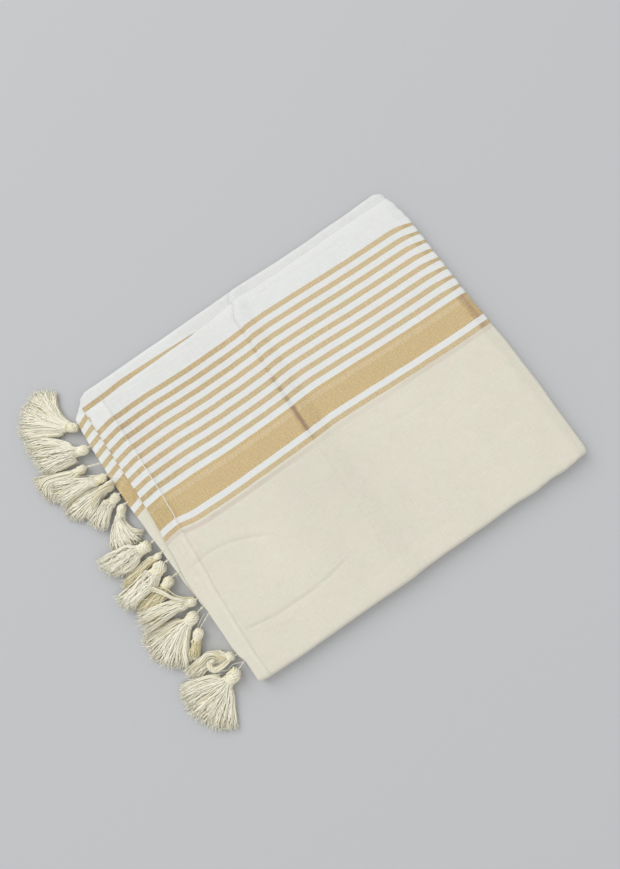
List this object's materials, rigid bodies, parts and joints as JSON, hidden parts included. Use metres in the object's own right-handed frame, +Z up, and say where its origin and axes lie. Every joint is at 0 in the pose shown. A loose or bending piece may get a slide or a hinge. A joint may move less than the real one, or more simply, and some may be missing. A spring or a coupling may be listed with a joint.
{
  "type": "folded saree",
  "caption": "Cotton saree with a striped border, folded flat into a packet, with tied tassels along its hemmed end.",
  "frame": {"origin": "centre of the folded packet's flat underside, on the surface that it lies on", "axes": "+Z up; +X along the cloth's stripes, away from the tassels; +Y towards the selvedges, across the packet"},
  "size_m": [0.4069, 0.3492, 0.0141],
  "materials": {
    "cream_cotton": "plain weave cream cotton with white and tan border stripes",
    "white_cotton": "plain weave white cotton with tan border stripes",
    "edge_cotton": "folded edges of plain weave cotton",
    "tassel_cotton": "twisted cotton yarn"
  },
  "bodies": {
    "root": {"folded_layers": "edge_cotton", "third_layer": "white_cotton", "second_layer": "white_cotton", "top_layer": "cream_cotton", "tassel_01": "tassel_cotton", "tassel_02": "tassel_cotton", "tassel_03": "tassel_cotton", "tassel_04": "tassel_cotton", "tassel_05": "tassel_cotton", "tassel_06": "tassel_cotton", "tassel_07": "tassel_cotton", "tassel_08": "tassel_cotton", "tassel_09": "tassel_cotton", "tassel_10": "tassel_cotton", "tassel_11": "tassel_cotton", "tassel_12": "tassel_cotton", "tassel_13": "tassel_cotton", "tassel_14": "tassel_cotton", "tassel_15": "tassel_cotton", "tassel_16": "tassel_cotton"}
  },
  "joints": []
}
